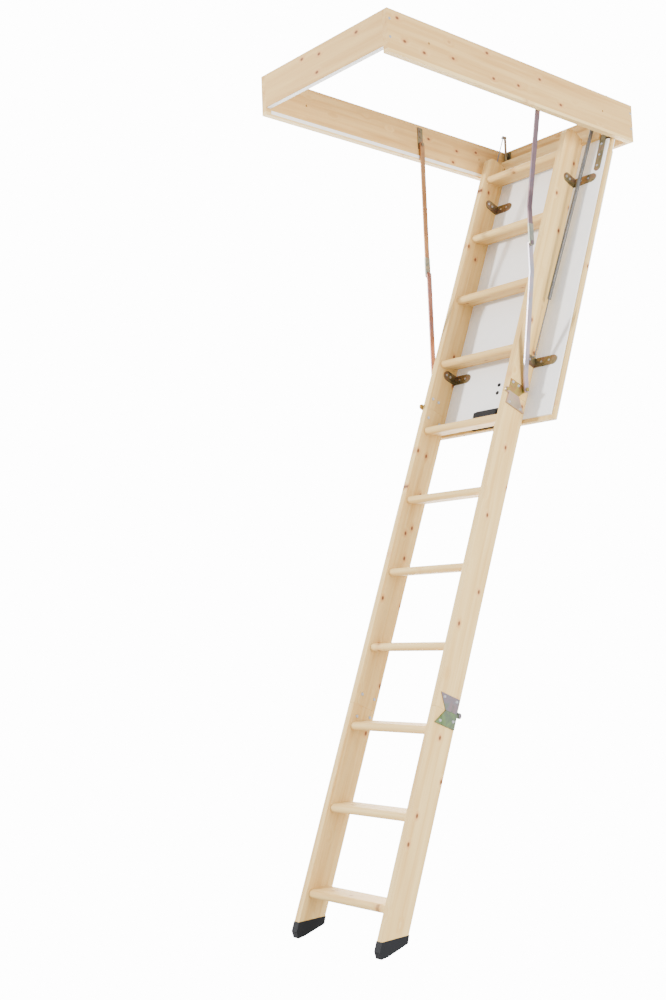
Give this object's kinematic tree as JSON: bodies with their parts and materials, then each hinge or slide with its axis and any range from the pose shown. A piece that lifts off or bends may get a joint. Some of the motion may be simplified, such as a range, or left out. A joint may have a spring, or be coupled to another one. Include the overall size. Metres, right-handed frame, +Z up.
{
  "type": "attic ladder",
  "caption": "Folding timber attic ladder: box frame, hinged white hatch, three-section spruce ladder with black boots, folding stays and tension springs",
  "frame": {"origin": "Middle of the frame opening, level with the frame underside, which is the ceiling line", "axes": "+Z up; +X towards the hinge end; -X towards the free end where the feet stand; -Y is the side nearer the ladder"},
  "size_m": [1.2156, 0.5832, 2.7261],
  "materials": {
    "spruce": "planed spruce, satin",
    "pale_spruce": "planed pale spruce, satin",
    "white_seal": "soft white foam seal",
    "white_board": "smooth white coated board",
    "foam_core": "rigid insulation",
    "yellow_zinc": "yellow passivated zinc plate",
    "red_zinc": "reddish iridescent passivated zinc",
    "steel_zinc": "bright zinc plate",
    "spring_steel": "oiled spring steel",
    "black_plastic": "black moulded plastic",
    "black_rubber": "black moulded rubber"
  },
  "bodies": {
    "frame": {"near_long_board": "spruce", "far_long_board": "spruce", "bottom_laths": "pale_spruce", "free_end_board": "spruce", "hinge_end_board": "spruce", "corner_screws": "steel_zinc", "frame_seals": "white_seal", "fixed_hinge_leaves": "yellow_zinc", "stay_brackets": "yellow_zinc", "spring_posts": "yellow_zinc", "latch_keeper": "steel_zinc"},
    "hatch": {"hatch_outer_skin": "white_board", "hatch_side_laths": "spruce", "hatch_end_laths": "spruce", "hatch_core": "foam_core", "hatch_inner_panel": "white_board", "hinge_rail": "spruce", "hinge_straps": "yellow_zinc", "ladder_brackets": "yellow_zinc", "bracket_screws": "steel_zinc", "latch_case": "black_plastic", "panel_plugs": "black_plastic", "near_upper_stile": "pale_spruce", "far_upper_stile": "pale_spruce", "tread_1": "pale_spruce", "tread_2": "pale_spruce", "tread_3": "pale_spruce", "tread_4": "pale_spruce", "upper_leaves": "yellow_zinc", "upper_bolts": "steel_zinc"},
    "middle": {"near_middle_stile": "pale_spruce", "far_middle_stile": "pale_spruce", "tread_5": "pale_spruce", "tread_6": "pale_spruce", "tread_7": "pale_spruce", "tread_8": "pale_spruce", "middle_top_leaves": "red_zinc", "middle_foot_leaves": "red_zinc", "middle_bolts": "steel_zinc"},
    "lower": {"near_lower_stile": "pale_spruce", "far_lower_stile": "pale_spruce", "tread_9": "pale_spruce", "tread_10": "pale_spruce", "tread_11": "pale_spruce", "lower_leaves": "yellow_zinc", "lower_bolts": "steel_zinc", "boots": "black_rubber"},
    "near_stay_upper_arm": {"near_stay_upper": "red_zinc"},
    "near_stay_lower_arm": {"near_stay_lower": "red_zinc"},
    "far_stay_upper_arm": {"far_stay_upper": "red_zinc"},
    "far_stay_lower_arm": {"far_stay_lower": "red_zinc"},
    "near_spring": {"near_spring_hook": "spring_steel", "near_spring_coil": "spring_steel"},
    "near_spring_rod": {"near_spring_rod": "spring_steel"},
    "far_spring": {"far_spring_hook": "spring_steel", "far_spring_coil": "spring_steel"},
    "far_spring_rod": {"far_spring_rod": "spring_steel"},
    "latch_tongue": {"latch_tongue": "steel_zinc"},
    "latch_spindle": {"latch_spindle": "steel_zinc"}
  },
  "joints": [
    {"name": "hatch_hinge", "type": "hinge", "parent": "frame", "child": "hatch", "pos_m": [0.508, 0, 0.014], "axis": [0, 1, 0], "range_deg": [0, 62]},
    {"name": "middle_fold", "type": "hinge", "parent": "hatch", "child": "middle", "pos_m": [0.02612, 0, -0.89573], "axis": [0, 1, 0], "range_deg": [0, 180]},
    {"name": "lower_fold", "type": "hinge", "parent": "middle", "child": "lower", "pos_m": [-0.26911, 0, -1.90675], "axis": [0, -1, 0], "range_deg": [0, 180]},
    {"name": "near_stay_top", "type": "hinge", "parent": "frame", "child": "near_stay_upper_arm", "pos_m": [0.108, -0.235, 0.055], "axis": [0, 1, 0], "range_deg": [0, 130.9]},
    {"name": "near_stay_foot", "type": "hinge", "parent": "hatch", "child": "near_stay_lower_arm", "pos_m": [0.1084, -0.153, -0.8923], "axis": [0, 1, 0], "range_deg": [-34.6, 0]},
    {"name": "far_stay_top", "type": "hinge", "parent": "frame", "child": "far_stay_upper_arm", "pos_m": [0.108, 0.256, 0.055], "axis": [0, 1, 0], "range_deg": [0, 130.9]},
    {"name": "far_stay_foot", "type": "hinge", "parent": "hatch", "child": "far_stay_lower_arm", "pos_m": [0.1084, 0.256, -0.8923], "axis": [0, 1, 0], "range_deg": [-34.6, 0]},
    {"name": "near_spring_swing", "type": "hinge", "parent": "frame", "child": "near_spring", "pos_m": [0.542, -0.196, 0.178], "axis": [0, 1, 0], "range_deg": [0, 54.9]},
    {"name": "near_spring_stretch", "type": "slide", "parent": "near_spring", "child": "near_spring_rod", "axis": [-0.3726, 0.0407, -0.9271], "range_m": [-0.1064, 0], "deforming": ["near_spring_coil"]},
    {"name": "far_spring_swing", "type": "hinge", "parent": "frame", "child": "far_spring", "pos_m": [0.542, 0.251, 0.178], "axis": [0, 1, 0], "range_deg": [0, 54.9]},
    {"name": "far_spring_stretch", "type": "slide", "parent": "far_spring", "child": "far_spring_rod", "axis": [-0.3729, 0, -0.9279], "range_m": [-0.1065, 0], "deforming": ["far_spring_coil"]},
    {"name": "latch_slide", "type": "slide", "parent": "hatch", "child": "latch_tongue", "axis": [0.3746, 0, 0.9272], "range_m": [0, 0.005]},
    {"name": "latch_turn", "type": "hinge", "parent": "hatch", "child": "latch_spindle", "pos_m": [0.13399, 0.027, -0.95441], "axis": [-0.9272, 0, 0.3746], "range_deg": [0, 90]}
  ],
  "couplings": [
    {"joint": "near_stay_top", "follows": "hatch_hinge", "ratio": 2.0957},
    {"joint": "near_stay_foot", "follows": "hatch_hinge", "ratio": -0.5415},
    {"joint": "far_stay_top", "follows": "hatch_hinge", "ratio": 2.0957},
    {"joint": "far_stay_foot", "follows": "hatch_hinge", "ratio": -0.5415},
    {"joint": "near_spring_swing", "follows": "hatch_hinge", "ratio": 0.87},
    {"joint": "near_spring_stretch", "follows": "hatch_hinge", "m_per_rad": -0.09644},
    {"joint": "far_spring_swing", "follows": "hatch_hinge", "ratio": 0.87},
    {"joint": "far_spring_stretch", "follows": "hatch_hinge", "m_per_rad": -0.09653},
    {"joint": "latch_turn", "follows": "latch_slide", "rad_per_m": 314.1}
  ]
}
